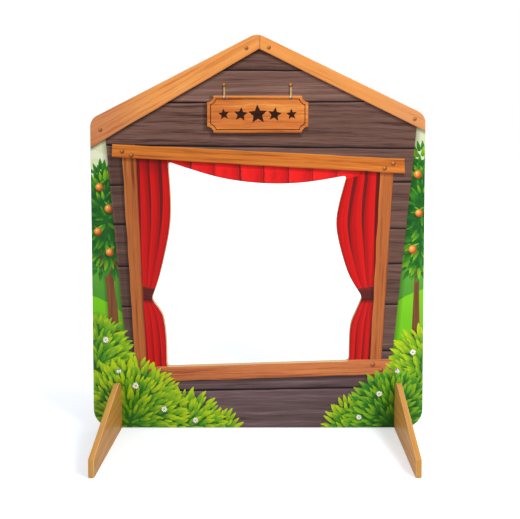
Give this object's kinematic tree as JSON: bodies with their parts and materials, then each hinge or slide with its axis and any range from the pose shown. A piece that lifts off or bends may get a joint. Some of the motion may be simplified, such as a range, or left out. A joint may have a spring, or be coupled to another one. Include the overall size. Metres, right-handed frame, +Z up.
{
  "type": "puppet theatre stand",
  "caption": "Free-standing children's puppet theatre: an upright house-shaped board with a curtain-shaped play window, held by two slotted feet and connector bolts.",
  "frame": {"origin": "on the floor, below the middle of the upright board", "axes": "+X to the spectator's right, +Y from the printed front to the player's side, +Z up"},
  "size_m": [1.05, 0.582, 1.2468],
  "materials": {
    "printed_board": "printed front under clear satin-gloss lacquer, natural sawn edges and back",
    "beech_board": "clear satin lacquer on multiplex",
    "nickel_bolt": "nickel plated",
    "zinc_nut": "zinc plated"
  },
  "bodies": {
    "root": {"theatre_panel": "printed_board", "left_foot": "beech_board", "right_foot": "beech_board", "left_connector_bolt": "nickel_bolt", "right_connector_bolt": "nickel_bolt", "left_barrel_nut": "zinc_nut", "right_barrel_nut": "zinc_nut"}
  },
  "joints": []
}
